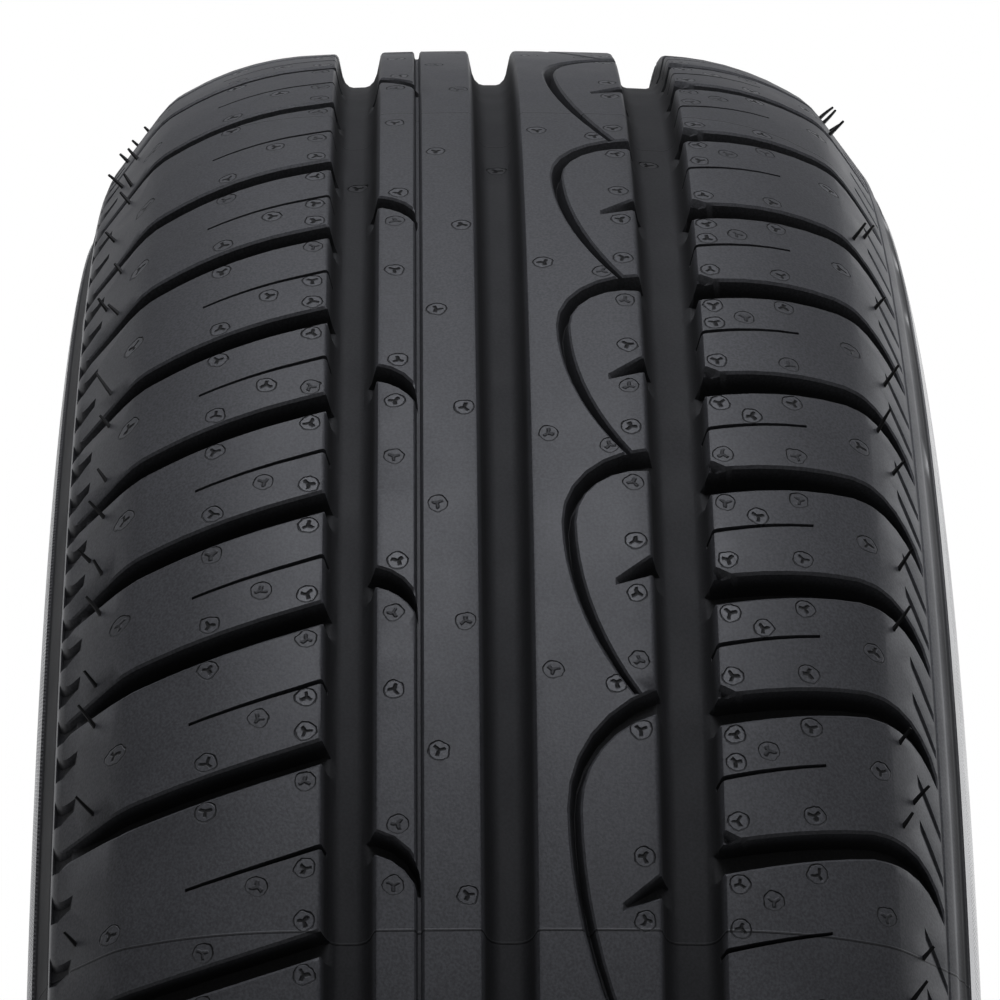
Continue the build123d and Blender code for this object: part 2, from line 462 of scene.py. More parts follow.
for index in range(-3, pitchCount + 3):
    start = pitchStart(index)
    pitch = pitchStart(index + 1) - start
    pair = pitchStart(index + 2) - start
    leftStart = start - leftLead
    inCycle = 0 <= index < pitchCount
    addCut(leftStart, leftCrossOutline(), crossProfile)
    addCut(start, rightCrossOutline(), crossProfile)
    addCut(start, bevelOutline, bevelProfile)
    addCut(leftStart + sipe["leftShare"] * pitch, leftSipeOutline(), sipeProfile)
    addCut(start + sipe["rightShare"] * pitch, rightSipeOutline(), sipeProfile)
    for share in gap["shares"]:
        addCut(leftStart + leftCross["sweep"] + gap["fall"] + share * pitch, gapOutline, gapProfile)
    for share in slit["shares"]:
        addCut(start - rightCross["sweep"] + share * pitch, slitOutline, slitProfile)
    if inCycle:
        addVents(leftStart, pitch, leftVents)
        addVents(start, pitch, rightVents)
        if pitch > vent["roomy"]:
            addVents(leftStart, pitch, (leftRoomyVent,))
            addVents(start, pitch, (rightRoomyVent,))
    if index == 0:
        addVents(start, pitch, ringVents)
    if index % 2 == 0:
        addCut(start - rightRibLead, notchOutline(), narrowProfile, notchRise)
        if inCycle:
            addVents(start - rightRibLead, pitch, notchVents)
    else:
        addCut(start - rightRibLead, crescentOutline(pair), crescentProfile)
        addCut(start - narrowRibLead, slotOutline(pitch), narrowProfile)
        if inCycle:
            addVents(start - rightRibLead, pair, crescentVents)
            addVents(start - narrowRibLead, pair, slotVents)

print("cuts", len(cuts), "vents", len(vents))

# Flat net of one cycle: every contour is a fixed edge of the triangulation
netPoints = []
netEdges = []


def addChain(points, closed):
    first = len(netPoints)
    netPoints.extend((float(x), float(y)) for x, y in points)
    count = len(points)
    netEdges.extend((first + i, first + i + 1) for i in range(count - 1))
    if closed:
        netEdges.append((first + count - 1, first))


for cut in cuts:
    for offset, level in cut["profile"]:
        addChain(offsetLoop(cut["loop"], offset), True)
for spot, place, turn, sunk in vents:
    half = vent["half"]
    for shift in (-cycleLength, 0, cycleLength):
        if -half < spot + shift < cycleLength + half:
            corners = [(-half, -half), (half, -half), (half, half), (-half, half)]
            addChain([(spot + shift + x, place + y) for x, y in corners], True)

ringPlaces = np.linspace(0, cycleLength, tread["ringSteps"] + 1)
for groove in ringGrooves.values():
    for offset, level in groove["profile"]:
        for side in (-1, 1):
            line = groove["place"] + side * (groove["width"] / 2 - offset)
            addChain([(x, line) for x in ringPlaces], False)
edgeLines = [section["edgeHalf"] + shift * section["edgeRound"] for shift in (-1, 0, 1)] + [zoneEnd]
edgeLines = [side * line for line in edgeLines for side in (-1, 1)]
for line in edgeLines + [place for place, level in leftRecess + rightRecess]:
    addChain([(x, line) for x in ringPlaces], False)
for x in (0, cycleLength):
    addChain([(x, y) for y in np.linspace(-zoneEnd, zoneEnd, tread["seamPoints"])], False)

# Loose points keep the triangles even on the open faces
loose = {"rows": 42, "columns": 22, "endGap": 3.0, "half": 71.0, "cutGap": 1.5, "ventGap": 1.2}
gridRows = np.linspace(loose["endGap"], cycleLength - loose["endGap"], loose["rows"])
gridColumns = np.linspace(-loose["half"], loose["half"], loose["columns"])
grid = np.array([(x, y) for x in gridRows for y in gridColumns])
free = np.ones(len(grid), bool)
for groove in ringGrooves.values():
    free &= np.abs(grid[:, 1] - groove["place"]) > groove["width"] / 2 + loose["cutGap"]
for cut in cuts:
    low, high = cut["low"] - tread["margin"], cut["high"] + tread["margin"]
    near = free & np.all((grid > low) & (grid < high), axis=1)
    if near.any():
        free[near] &= insideDistance(grid[near], cut["loop"]) < -loose["cutGap"]
for spot, place, turn, sunk in vents:
    free &= np.max(np.abs(grid - np.array([spot, place])), axis=1) > vent["half"] + loose["ventGap"]
netPoints.extend((float(x), float(y)) for x, y in grid[free])

vectors = [Vector(point) for point in netPoints]
net = delaunay_2d_cdt(vectors, netEdges, [], 0, tread["weld"])
flat = np.array([tuple(v) for v in net[0]])
faces = np.array([face for face in net[2] if len(face) == 3])
centres = flat[faces].mean(axis=1)
inside = (centres[:, 0] > 0) & (centres[:, 0] < cycleLength) & (np.abs(centres[:, 1]) < zoneEnd)
faces = faces[inside]
centres = centres[inside]
used = np.unique(faces)
remap = np.full(len(flat), -1)
remap[used] = np.arange(len(used))
flat = flat[used]
faces = remap[faces]
print("net", len(flat), "points", len(faces), "triangles")

# Depth of every point: the deepest of the cuts that reach it
side = np.abs(flat[:, 1])
recessPlaces, recessLevels = zip(*(leftRecess + rightRecess))
depth = np.interp(flat[:, 1], recessPlaces, recessLevels)
limit = np.maximum(surfaceRadius(side) - levelRadius(side, crossDepth), 0)
for groove in ringGrooves.values():
    offsets, levels = zip(*groove["profile"])
    distance = groove["width"] / 2 - np.abs(flat[:, 1] - groove["place"])
    depth = np.maximum(depth, np.interp(distance, offsets, levels, left=0))
for cut in cuts:
    near = np.all((flat >= cut["low"]) & (flat <= cut["high"]), axis=1)
    if near.any():
        offsets, levels = zip(*cut["profile"])
        distance = insideDistance(flat[near], cut["loop"])
        reached = np.interp(distance, offsets, levels, left=0)
        reached = np.minimum(reached, np.interp(flat[near][:, 1], *cut["rise"]))
        if cut["profile"] in (crossProfile, narrowProfile, sipeProfile):
            reached = np.minimum(reached, limit[near])
        depth[near] = np.maximum(depth[near], reached)

radius = surfaceRadius(flat[:, 1]) - depth
angle = math.radians(tread["firstAngle"]) + flat[:, 0] / crownRadius
points = np.stack([radius * np.cos(angle), flat[:, 1], -radius * np.sin(angle)], axis=1) * mm
mesh = bpy.data.meshes.new("tyreBody")
mesh.from_pydata(points.tolist(), [], faces.tolist())
tyre = bpy.data.objects.new("tyreBody", mesh)
bpy.context.scene.collection.objects.link(tyre)

# Flat places of the vent marks in millimetres from their middles; sunk ones are moved along
ventMap = np.full((len(faces), 3, 2), vent["away"])
for spot, place, turn, sunk in vents:
    for shift in (-cycleLength, 0, cycleLength):
        middle = np.array([spot + shift, place])
        hit = np.max(np.abs(centres - middle), axis=1) < vent["half"]
        if hit.any():
            rel = flat[faces[hit]] - middle
            x = rel[..., 0] * math.cos(turn) - rel[..., 1] * math.sin(turn)
            y = rel[..., 0] * math.sin(turn) + rel[..., 1] * math.cos(turn)
            ventMap[hit] = np.stack([x + vent["sunkShift"] * sunk, y], axis=-1)
ventLayer = mesh.uv_layers.new(name="ventMap")
ventLayer.data.foreach_set("uv", ventMap.reshape(-1))
cutDepth = mesh.attributes.new("cutDepth", "FLOAT", "POINT")
cutDepth.data.foreach_set("value", depth)
print("one cycle of tread meshed")


def selectOnly(piece):
    bpy.ops.object.select_all(action="DESELECT")
    piece.select_set(True)
    bpy.context.view_layer.objects.active = piece


# Outer half width of the wall at a radius: three arcs in turn
def wallHalf(radius):
    widest = crownRadius - section["widestDrop"]
    lower = crownRadius - section["lowerDrop"]
    beadTop = section["seatRadius"] + section["beadFace"]
    if radius >= widest:
        rise, drop = buttress[0] - widest, section["widestHalf"] - buttress[1]
        bow = (rise**2 + drop**2) / (2 * drop)
        return section["widestHalf"] - bow + math.sqrt(bow**2 - (radius - widest) ** 2)
    if radius >= lower:
        rise, drop = widest - lower, section["widestHalf"] - section["lowerHalf"]
        bow = (rise**2 + drop**2) / (2 * drop)
        return section["widestHalf"] - bow + math.sqrt(bow**2 - (radius - widest) ** 2)
    rise, drop = lower - beadTop, section["lowerHalf"] - section["rimHalf"]
    bow = (rise**2 + drop**2) / (2 * drop)
    return section["rimHalf"] + bow - math.sqrt(bow**2 - (radius - beadTop) ** 2)


# Rows of the wall from the buttress down: radius and how far it stands off the arcs
leftRecessRows = ((277.2, -0.9), (272.0, -0.9), (266.8, -0.9), (266.2, -0.1))
rightRecessRows = ((277.2, -0.7), (276.0, -0.6), (275.4, 0.0), (272.0, 0.0), (269.0, 0.0), (266.0, 0.0))
wallRows = (
    (263.0, 0.0), (259.5, 0.0), (255.5, 0.0), (251.0, 0.0), (245.5, 0.0), (241.2, 0.0), (240.9, -0.5),
    (239.5, -0.5), (239.2, 0.0), (233.5, 0.0), (228.2, 0.0), (227.8, 0.8), (224.2, 0.8), (223.6, 0.0),
    (218.5, 0.0), (213.0, 0.0), (208.0, 0.0), (206.6, 0.0), (206.2, 0.7), (205.2, 0.7), (204.8, 0.0),
    (200.0, 0.0), (196.1, 0.0),
)
# Radius where the recess ends, and the made-up cut depth given to the recess so that the rubber paints
# shade into it
leftRecessFoot = 266.5
rightRecessFoot = 275.7
recessShade = 4.0


def wallProfile(recessRows):
    s = section
    heelTop = (s["seatRadius"] + s["heel"], s["rimHalf"])
    heelEnd = (s["seatRadius"], s["rimHalf"] - s["heel"])
    toe = (s["seatRadius"], s["rimHalf"] - s["beadBase"])
    shank = (s["seatRadius"] + s["shankHeight"], s["lowerHalf"] - s["shankWidth"])
    innerWidest = (crownRadius - s["widestDrop"], s["widestHalf"] - s["wallThickness"])
    innerShoulder = (treadEdge[0] - s["shoulderThickness"], s["edgeHalf"] - s["shoulderInset"])
    innerTop = (crownRadius - s["crownThickness"], 0.0)
    line = [(buttress[0] - s["recessDepth"], buttress[1])]
    line += [(radius, wallHalf(radius) + off) for radius, off in recessRows + wallRows]
    line += arcPoints(heelTop, (-1, 0), heelEnd, 4)
    line += [toe, shank]
    line += arcPoints(innerWidest, (-1, 0), shank, 5)[::-1][1:]
    line += arcPoints(innerWidest, (1, 0), innerShoulder, 6)[1:]
    return line + arcPoints(innerTop, (0, 1), innerShoulder, 5)[::-1][1:]


leftProfile = [(radius, -half) for radius, half in wallProfile(leftRecessRows)]
profile = wallProfile(rightRecessRows) + leftProfile[-2::-1]
start = math.radians(tread["firstAngle"])
ring = [(r * math.cos(start) * mm, y * mm, -r * math.sin(start) * mm) for r, y in profile]
wallMesh = bpy.data.meshes.new("tyreWall")
wallMesh.from_pydata(ring, [(i, i + 1) for i in range(len(ring) - 1)], [])
wall = bpy.data.objects.new("tyreWall", wallMesh)
bpy.context.scene.collection.objects.link(wall)
selectOnly(wall)
bpy.ops.object.mode_set(mode="EDIT")
bpy.ops.mesh.select_all(action="SELECT")
bpy.ops.mesh.spin(
    steps=tread["ringSteps"] * tread["cycles"], angle=2 * math.pi, center=(0, 0, 0), axis=(0, 1, 0)
)
bpy.ops.object.mode_set(mode="OBJECT")
wallLayer = wallMesh.uv_layers.new(name="ventMap")
wallLayer.data.foreach_set("uv", np.full(2 * len(wallMesh.loops), vent["away"]))
wallPoints = np.array([tuple(v.co) for v in wallMesh.vertices]) / mm
wallReach = np.hypot(wallPoints[:, 0], wallPoints[:, 2])
foot = np.where(wallPoints[:, 1] < 0, leftRecessFoot, rightRecessFoot)
inRecess = (wallReach > foot) & (np.abs(wallPoints[:, 1]) > section["edgeHalf"])
# The recess takes the made-up depth: painted shade, not its real depth
wallDepth = wallMesh.attributes.new("cutDepth", "FLOAT", "POINT")
wallDepth.data.foreach_set("value", np.where(inRecess, recessShade, 0.0))

bodyJoin = {"weld": 0.00002, "smooth": 32}
selectOnly(tyre)
bpy.ops.object.mode_set(mode="EDIT")
bpy.ops.mesh.select_all(action="SELECT")
lastTurn = 2 * math.pi * (tread["cycles"] - 1) / tread["cycles"]
bpy.ops.mesh.spin(
    steps=tread["cycles"] - 1, dupli=True, angle=lastTurn, center=(0, 0, 0), axis=(0, 1, 0)
)
bpy.ops.object.mode_set(mode="OBJECT")
wall.select_set(True)
bpy.ops.object.join()
bpy.ops.object.mode_set(mode="EDIT")
bpy.ops.mesh.select_all(action="SELECT")
bpy.ops.mesh.remove_doubles(threshold=bodyJoin["weld"])
bpy.ops.mesh.normals_make_consistent(inside=False)
bpy.ops.object.mode_set(mode="OBJECT")
bpy.ops.object.shade_smooth_by_angle(angle=math.radians(bodyJoin["smooth"]))
triangles = sum(len(p.vertices) - 2 for p in tyre.data.polygons)
print("tyre body", len(tyre.data.vertices), "points", triangles, "triangles")

# Hairs of rubber left by the mould vents along both tread edges
hair = {
    "thick": 0.5,
    "tip": 0.3,
    "sides": 5,
    "rings": 4,
    "root": 0.4,
    "bend": 0.08,
    "length": (3.0, 6.0),
    "out": (0.5, 0.62),
    "lean": (-0.75, -0.4),
    "leftPlace": -79.5,
    "rightPlace": 76.0,
    "spots": ((0.18, 0), (0.54, 3.0), (0.8, 0)),
    "stray": 0.03,
    "strayAcross": 0.4,
    "kept": 0.65,
    "seed": 5,
    "smooth": 60,
}
dice = np.random.RandomState(hair["seed"])
hairPoints = []
hairFaces = []


def addHair(spot, place, length, out, lean):
    turn = math.radians(tread["firstAngle"]) + spot / crownRadius
    outward = Vector((math.cos(turn), 0, -math.sin(turn)))
    along = Vector((-math.sin(turn), 0, -math.cos(turn)))
    across = Vector((0, 1, 0)) * math.copysign(1, place)
    foot = outward * float(surfaceRadius(np.array(place)) - hair["root"]) + Vector((0, place, 0))
    way = (outward * (1 - out) + across * out + along * lean).normalized()
    sideways = way.cross(along).normalized()
    other = way.cross(sideways)
    sway = hair["bend"]
    bend = along * dice.uniform(-sway, sway) + outward * dice.uniform(-sway, sway)
    base = len(hairPoints)
    sides, rings = hair["sides"], hair["rings"]
    for level in range(rings):
        share = level / (rings - 1)
        middle = foot + way * length * share + bend * length * share**2
        thick = hair["thick"] + share * (hair["tip"] - hair["thick"])
        for corner in range(sides):
            spin = 2 * math.pi * corner / sides
            spoke = sideways * math.cos(spin) + other * math.sin(spin)
            hairPoints.append((middle + spoke * thick) * mm)
    for level in range(rings - 1):
        for corner in range(sides):
            a = base + sides * level + corner
            b = base + sides * level + (corner + 1) % sides
            hairFaces.append((a, b, b + sides, a + sides))
    end = base + sides * (rings - 1)
    hairFaces.append(tuple(range(end, end + sides)))
    hairFaces.append(tuple(range(base + sides - 1, base - 1, -1)))


for index in range(pitchCount * tread["cycles"]):
    start = pitchStart(index)
    pitch = pitchStart(index + 1) - start
    leftReference = start - leftLead + leftCross["sweep"]
    rightReference = start - rightCross["sweep"]
    for side, reference in ((hair["leftPlace"], leftReference), (hair["rightPlace"], rightReference)):
        for share, further in hair["spots"]:
            spot = reference + (share + dice.uniform(-hair["stray"], hair["stray"])) * pitch
            further = further + dice.uniform(-hair["strayAcross"], hair["strayAcross"])
            place = side + math.copysign(further, side)
            length = dice.uniform(*hair["length"])
            out, lean = dice.uniform(*hair["out"]), dice.uniform(*hair["lean"])
            if dice.uniform() < hair["kept"]:
                addHair(spot, place, length, out, lean)
hairMesh = bpy.data.meshes.new("ventHairs")
hairMesh.from_pydata(hairPoints, [], hairFaces)
hairs = bpy.data.objects.new("ventHairs", hairMesh)
bpy.context.scene.collection.objects.link(hairs)
selectOnly(hairs)
bpy.ops.object.mode_set(mode="EDIT")
bpy.ops.mesh.select_all(action="SELECT")
bpy.ops.mesh.normals_make_consistent(inside=False)
bpy.ops.object.mode_set(mode="OBJECT")
bpy.ops.object.shade_smooth_by_angle(angle=math.radians(hair["smooth"]))
print("hairs", len(hairMesh.polygons), "faces")


# Shader helpers: a value goes on the socket, an output is linked to it
def addNode(tree, kind, inputs=(), **settings):
    node = tree.nodes.new(kind)
    for name, value in settings.items():
        setattr(node, name, value)
    for key, value in dict(inputs).items():
        if isinstance(value, bpy.types.NodeSocket):
            tree.links.new(value, node.inputs[key])
        else:
            node.inputs[key].default_value = value
    return node


def calc(tree, operation, *values):
    return addNode(tree, "ShaderNodeMath", enumerate(values), operation=operation).outputs[0]


def times(tree, first, second):
    return calc(tree, "MULTIPLY", first, second)


def remainder(tree, value):
    return calc(tree, "SUBTRACT", 1.0, value)


def hypotenuse(tree, first, second):
    return calc(tree, "SQRT", calc(tree, "MULTIPLY_ADD", first, first, times(tree, second, second)))


def ramp(tree, value, low, high, start=0.0, end=1.0):
    inputs = {"Value": value, "From Min": low, "From Max": high, "To Min": start, "To Max": end}
    return addNode(tree, "ShaderNodeMapRange", inputs, interpolation_type="SMOOTHSTEP").outputs[0]


def fallOff(tree, value, low, high):
    return ramp(tree, value, low, high, 1.0, 0.0)


def band(tree, value, low, high, ease):
    return times(tree, ramp(tree, value, low, low + ease), fallOff(tree, value, high - ease, high))


def noise(tree, place, scale, detail):
    return addNode(tree, "ShaderNodeTexNoise", {"Vector": place, "Scale": scale, "Detail": detail})


def newGroup(name, inputs, outputs):
    group = bpy.data.node_groups.new(name, "ShaderNodeTree")
    for socket in inputs:
        group.interface.new_socket(socket, in_out="INPUT", socket_type="NodeSocketVector")
    for socket in outputs:
        group.interface.new_socket(socket, in_out="OUTPUT", socket_type="NodeSocketFloat")
    return group, group.nodes.new("NodeGroupInput"), group.nodes.new("NodeGroupOutput")


# Disc, rim line and three arms of a vent mark, from its map in millimetres; the dark rim and arms are
# painted shade in their grooves, and the lighter disc of a flush mark is a painted highlight
ventLook = {
    "rim": 2.0,
    "rimFade": (0.03, 0.22),
    "discFade": (-0.1, 0.15),
    "armFade": (0.12, 0.45),
    "armReach": 1.12,
    "armEndFade": (-0.1, 0.3),
    "arms": 3,
    "ragged": 1.2,
    "raggedScale": 420.0,
    "raggedDetail": 2.0,
    "flushHeight": {"arm": -0.9, "rim": -0.3, "disc": -0.55},
    "sunkHeight": {"arm": 0.5, "disc": -0.9},
    "flushShade": {"rim": 0.6, "all": 1.3, "disc": -0.3},
    "sunkShade": {"rim": 0.8, "arm": 0.5},
}


def buildVentGroup():
    look = ventLook
    tree, entry, result = newGroup("ventMark", ["Place", "Spot"], ["Height", "Shade"])
    parts = addNode(tree, "ShaderNodeSeparateXYZ", {0: entry.outputs["Place"]})
    ragged = noise(tree, entry.outputs["Spot"], look["raggedScale"], look["raggedDetail"])
    shift = addNode(tree, "ShaderNodeSeparateXYZ", {0: ragged.outputs["Color"]})
    sunk = calc(tree, "GREATER_THAN", parts.outputs[0], vent["sunkLimit"])
    x = calc(tree, "SUBTRACT", parts.outputs[0], times(tree, sunk, vent["sunkShift"]))
    shiftX = calc(tree, "SUBTRACT", shift.outputs[0], 0.5)
    shiftY = calc(tree, "SUBTRACT", shift.outputs[1], 0.5)
    x = calc(tree, "MULTIPLY_ADD", shiftX, look["ragged"], x)
    y = calc(tree, "MULTIPLY_ADD", shiftY, look["ragged"], parts.outputs[1])
    reach = hypotenuse(tree, x, y)
    fold = calc(tree, "PINGPONG", calc(tree, "ARCTAN2", y, x), math.pi / look["arms"])
    armSide = times(tree, reach, calc(tree, "SINE", fold))
    armEnd = fallOff(tree, reach, *[look["armReach"] + fade for fade in look["armEndFade"]])
    arm = times(tree, fallOff(tree, armSide, *look["armFade"]), armEnd)
    edge = calc(tree, "ABSOLUTE", calc(tree, "SUBTRACT", reach, look["rim"]))
    rim = fallOff(tree, edge, *look["rimFade"])
    disc = fallOff(tree, reach, *[look["rim"] + fade for fade in look["discFade"]])
    flush = remainder(tree, sunk)

    share = look["flushHeight"]
    flushHeight = calc(tree, "MULTIPLY_ADD", arm, share["arm"], times(tree, rim, share["rim"]))
    flushHeight = calc(tree, "MULTIPLY_ADD", disc, share["disc"], flushHeight)
    share = look["sunkHeight"]
    sunkHeight = calc(tree, "MULTIPLY_ADD", arm, share["arm"], times(tree, disc, share["disc"]))
    height = calc(tree, "MULTIPLY_ADD", flushHeight, flush, times(tree, sunkHeight, sunk))

    # Shade: painted shade in the rim and arm grooves; the negative disc share of a flush mark is a
    # painted highlight
    share = look["flushShade"]
    flushShade = calc(tree, "MAXIMUM", arm, times(tree, rim, share["rim"]))
    flushShade = calc(tree, "MULTIPLY_ADD", disc, share["disc"], times(tree, flushShade, share["all"]))
    share = look["sunkShade"]
    sunkShade = calc(tree, "MAXIMUM", times(tree, rim, share["rim"]), times(tree, arm, share["arm"]))
    shade = calc(tree, "MULTIPLY_ADD", flushShade, flush, times(tree, sunkShade, sunk))
    tree.links.new(height, result.inputs["Height"])
    tree.links.new(shade, result.inputs["Shade"])
    return tree


# Fine grain and soft mottling shared by all the rubber
grainLook = {"fineScale": 1900.0, "fineDetail": 3.0, "broadScale": 60.0, "broadDetail": 6.0}


def buildGrainGroup():
    look = grainLook
    tree, entry, result = newGroup("rubberGrain", ["Place"], ["Fine", "Broad"])
    fine = noise(tree, entry.outputs[0], look["fineScale"], look["fineDetail"])
    broad = noise(tree, entry.outputs[0], look["broadScale"], look["broadDetail"])
    tree.links.new(fine.outputs[0], result.inputs["Fine"])
    tree.links.new(broad.outputs[0], result.inputs["Broad"])
    return tree


ventGroup = buildVentGroup()
grainGroup = buildGrainGroup()
rubberLook = {
    "tread": (0.040, 0.0406, 0.0446, 1),
    # The wall colour is lighter than the tread's as a painted sheen, standing in for the gloss of the
    # walls
    "wall": (0.056, 0.056, 0.059, 1),
    "wallPlaces": (0.0872, 0.0886),
    "recessDepths": (1.0, 3.0),
    "specular": 0.34,
    "treadRough": 0.5,
    "wallRough": 0.18,
    "grooveRough": 0.3,
    "ventRough": 0.3,
    "broadRough": (-0.03, 0.04),
    "broadRange": (0.3, 0.7),
    "broadTone": (0.94, 1.06),
    "fineRange": (0.25, 0.75),
    "fineTone": (0.68, 1.32),
    "ventTone": 0.95,
    "partingTone": 0.6,
    # Painted shade in the cuts: the colour darkens with the cut depth, a little less on the deepest
    # floors
    "grooveDepths": (0.3, 4.0),
    "cutShadeTone": 0.25,
    "floorDepths": (6.4, 7.9),
    "floorShadeEase": 0.02,
    "grainHeight": 0.03,
    "ventHeight": 0.8,
    "ribHeight": 0.1,
    "partingHeight": 0.12,
    "bump": 0.9,
}
# Fine ribs on the wall, slanted in the upper band and straight in the lower one
ribLook = {
    "straight": 960.0,
    "slantTurn": 1800.0,
    "slantReach": 4200.0,
    "upperBand": (0.2545, 0.2705),
    "lowerBand": (0.2295, 0.2385),
    "ease": 0.0005,
}
# Thin mould parting lines across the tread
partingLook = {"count": 8, "angle": 18.45, "fade": (0.0003, 0.0011)}


def buildRubber():
    look = rubberLook
    material = bpy.data.materials.new("rubber")
    material.use_nodes = True
    tree = material.node_tree
    shader = tree.nodes["Principled BSDF"]
    place = addNode(tree, "ShaderNodeTexCoord").outputs["Object"]
    parts = addNode(tree, "ShaderNodeSeparateXYZ", {0: place})
    x, y, z = parts.outputs[0], parts.outputs[1], parts.outputs[2]
    reach = hypotenuse(tree, x, z)
    turn = calc(tree, "ARCTAN2", z, x)
    sideways = calc(tree, "ABSOLUTE", y)
    deep = addNode(tree, "ShaderNodeAttribute", {}, attribute_name="cutDepth").outputs["Fac"]
    outOfRecess = fallOff(tree, deep, *look["recessDepths"])
    isWall = times(tree, ramp(tree, sideways, *look["wallPlaces"]), outOfRecess)
    grain = addNode(tree, "ShaderNodeGroup", {}, node_tree=grainGroup)
    tree.links.new(place, grain.inputs[0])
    fine, broad = grain.outputs["Fine"], grain.outputs["Broad"]
    ventPlace = addNode(tree, "ShaderNodeUVMap", {}, uv_map="ventMap")
    mark = addNode(tree, "ShaderNodeGroup", {}, node_tree=ventGroup)
    tree.links.new(ventPlace.outputs[0], mark.inputs["Place"])
    tree.links.new(place, mark.inputs["Spot"])
    shade = mark.outputs["Shade"]

    straight = calc(tree, "SINE", times(tree, turn, ribLook["straight"]))
    slantTurn = times(tree, turn, ribLook["slantTurn"])
    slantReach = times(tree, reach, ribLook["slantReach"])
    slant = calc(tree, "SINE", calc(tree, "ADD", slantTurn, slantReach))
    upperRibs = times(tree, slant, band(tree, reach, *ribLook["upperBand"], ribLook["ease"]))
    lowerRibs = times(tree, straight, band(tree, reach, *ribLook["lowerBand"], ribLook["ease"]))
    ribs = times(tree, calc(tree, "ADD", upperRibs, lowerRibs), isWall)

    fromParting = calc(tree, "ADD", turn, math.radians(partingLook["angle"]))
    sector = calc(tree, "PINGPONG", fromParting, math.pi / partingLook["count"])
    parting = times(tree, fallOff(tree, sector, *partingLook["fade"]), remainder(tree, isWall))

    height = times(tree, mark.outputs["Height"], look["ventHeight"])
    height = calc(tree, "MULTIPLY_ADD", fine, look["grainHeight"], height)
    height = calc(tree, "MULTIPLY_ADD", ribs, look["ribHeight"], height)
    height = calc(tree, "MULTIPLY_ADD", parting, look["partingHeight"], height)
    bump = addNode(tree, "ShaderNodeBump", {"Strength": look["bump"], "Distance": mm, "Height": height})

    # Colour: painted shade darkens the cuts by their depth and the rims and arms of the vent marks, a
    # painted highlight lightens the flush vent discs, and the parting lines are darker
    base = addNode(tree, "ShaderNodeMix", {}, data_type="RGBA")
    tree.links.new(isWall, base.inputs["Factor"])
    base.inputs[6].default_value = look["tread"]
    base.inputs[7].default_value = look["wall"]
    mottle = ramp(tree, broad, *look["broadRange"], *look["broadTone"])
    tone = times(tree, mottle, ramp(tree, fine, *look["fineRange"], *look["fineTone"]))
    tone = times(tree, tone, remainder(tree, times(tree, shade, look["ventTone"])))
    tone = times(tree, tone, remainder(tree, times(tree, parting, look["partingTone"])))
    # Painted shade: walls and floors of the cuts darkened by their depth, the floors slightly less
    paintedFloorEase = ramp(tree, deep, *look["floorDepths"], 0.0, look["floorShadeEase"])
    paintedDepthShade = ramp(tree, deep, *look["grooveDepths"], 1.0, look["cutShadeTone"])
    paintedCutShade = calc(tree, "ADD", paintedDepthShade, paintedFloorEase)
    colour = addNode(tree, "ShaderNodeVectorMath", {0: base.outputs[2]}, operation="SCALE")
    tree.links.new(times(tree, tone, paintedCutShade), colour.inputs["Scale"])

    rough = ramp(tree, isWall, 0, 1, look["treadRough"], look["wallRough"])
    rough = calc(tree, "ADD", rough, ramp(tree, broad, *look["broadRange"], *look["broadRough"]))
    rough = calc(tree, "MULTIPLY_ADD", remainder(tree, paintedCutShade), look["grooveRough"], rough)
    rough = calc(tree, "MULTIPLY_ADD", shade, look["ventRough"], rough)
    tree.links.new(colour.outputs[0], shader.inputs["Base Color"])
    tree.links.new(rough, shader.inputs["Roughness"])
    tree.links.new(bump.outputs[0], shader.inputs["Normal"])
    shader.inputs["Specular IOR Level"].default_value = look["specular"]
    return material


hairLook = {"broadRange": (0.3, 0.7), "tone": (0.002, 0.004), "rough": 0.5, "specular": 0.15}


def buildHairRubber():
    look = hairLook
    material = bpy.data.materials.new("hairRubber")
    material.use_nodes = True
    tree = material.node_tree
    shader = tree.nodes["Principled BSDF"]
    place = addNode(tree, "ShaderNodeTexCoord").outputs["Object"]
    grain = addNode(tree, "ShaderNodeGroup", {}, node_tree=grainGroup)
    tree.links.new(place, grain.inputs[0])
    tone = ramp(tree, grain.outputs["Broad"], *look["broadRange"], *look["tone"])
    colour = addNode(tree, "ShaderNodeCombineColor", {0: tone, 1: tone, 2: tone})
    tree.links.new(colour.outputs[0], shader.inputs["Base Color"])
    shader.inputs["Roughness"].default_value = look["rough"]
    shader.inputs["Specular IOR Level"].default_value = look["specular"]
    return material


tyre.data.materials.clear()
tyre.data.materials.append(buildRubber())
hairs.data.materials.append(buildHairRubber())
for piece in (tyre, hairs):
    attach(piece, "root")
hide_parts("tyre")
print("rubber laid on")

# Camera: fitted to the photo, close to the wheel plane and a little above the axle
view = {
    "distance": 4.2574,
    "elevation": 12.0,
    "tilt": 8.874,
    "yaw": 0.951,
    "side": -0.0599,
    "lens": 196.2,
}
cam = bpy.data.cameras.new("camera")
cam.sensor_width = 36.0
cam.lens = view["lens"]
cam.clip_end = 50
camera = bpy.data.objects.new("camera", cam)
bpy.context.scene.collection.objects.link(camera)
reach = view["distance"] * crownRadius * mm
lift = math.radians(view["elevation"])
camera.location = (reach * math.cos(lift), view["side"] * crownRadius * mm, reach * math.sin(lift))
down = lift - math.radians(view["tilt"])
forward = Vector((-math.cos(down), 0, -math.sin(down)))
forward = Matrix.Rotation(-math.radians(view["yaw"]), 3, "Z") @ forward
camera.rotation_euler = forward.to_track_quat("-Z", "Y").to_euler()
bpy.context.scene.camera = camera

light = {
    "top": 9.5,
    "left": 2.0,
    "right": 7.0,
    "front": 25.5,
    "back": 3.0,
    "tint": (0.91, 0.93, 1.0),
}
# The white behind the tyre also shows in its glossy walls, less on the left
surround = {
    "strength": 0.18,
    "leftShare": 0.4,
    "leftFade": (-0.3, 0.0),
    "behindFade": (-0.8, -0.3),
    "upFade": (0.15, 0.4),
}

